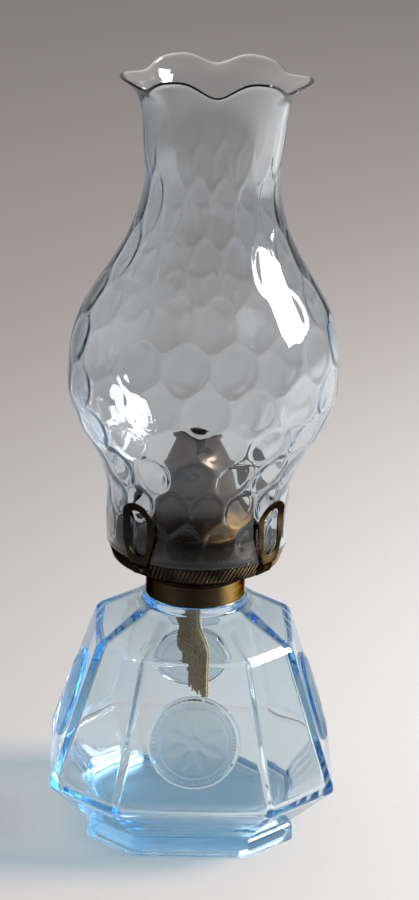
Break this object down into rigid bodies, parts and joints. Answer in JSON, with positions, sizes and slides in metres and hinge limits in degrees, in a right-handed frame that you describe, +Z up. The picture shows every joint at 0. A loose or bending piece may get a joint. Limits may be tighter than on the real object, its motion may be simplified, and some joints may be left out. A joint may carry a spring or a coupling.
{
  "type": "oil lamp",
  "caption": "Table oil lamp: faceted pressed-glass font with round medallions, brass flat-wick burner with slotted prongs, and blown glass chimney with a crimped rim.",
  "frame": {"origin": "centre of the foot's underside, on the surface that the lamp stands on", "axes": "+Z up along the lamp's axis, front medallion towards -Y"},
  "size_m": [0.1222, 0.1222, 0.3438],
  "materials": {
    "blue_glass": "polished",
    "chimney_glass": "polished",
    "brass": "satin",
    "aged_brass": "tarnished",
    "heated_brass": "tarnished by heat",
    "steel": "satin",
    "plaster": "matte",
    "wick_cotton": "woven"
  },
  "bodies": {
    "font": {"font_glass": "blue_glass", "collar_cement": "plaster", "collar": "brass"},
    "burner": {"burner_base": "aged_brass", "air_bowl": "aged_brass", "gallery_ring": "aged_brass", "air_plate": "aged_brass", "dome_plate": "aged_brass", "deflector": "heated_brass", "wick_tube": "aged_brass", "vent_tube": "aged_brass", "spur_housing": "aged_brass", "spindle_sleeve": "aged_brass", "prong_front_left": "aged_brass", "prong_front_right": "aged_brass", "prong_back_left": "aged_brass", "prong_back_right": "aged_brass", "prong_rivets": "brass"},
    "wick_raiser": {"wick_spindle": "steel", "spur_wheels": "brass", "thumb_wheel": "aged_brass"},
    "wick": {"wick": "wick_cotton"},
    "chimney": {"chimney": "chimney_glass"}
  },
  "joints": [
    {"name": "burner_unscrew", "type": "hinge", "parent": "font", "child": "burner", "pos_m": [0, 0, 0.1163], "axis": [0, 0, 1], "range_deg": [0, 900]},
    {"name": "thumb_wheel_turn", "type": "hinge", "parent": "burner", "child": "wick_raiser", "pos_m": [-0.00568, -0.00053, 0.1221], "axis": [0.0932, -0.9956, 0], "range_deg": [-130, 170]},
    {"name": "wick_feed", "type": "slide", "parent": "burner", "child": "wick", "axis": [0, 0, 1], "range_m": [-0.0096, 0.0125]},
    {"name": "chimney_lift", "type": "slide", "parent": "burner", "child": "chimney", "axis": [0, 0, 1], "range_m": [0, 0.06]}
  ],
  "couplings": [
    {"joint": "wick_feed", "follows": "thumb_wheel_turn", "m_per_rad": 0.0042}
  ]
}
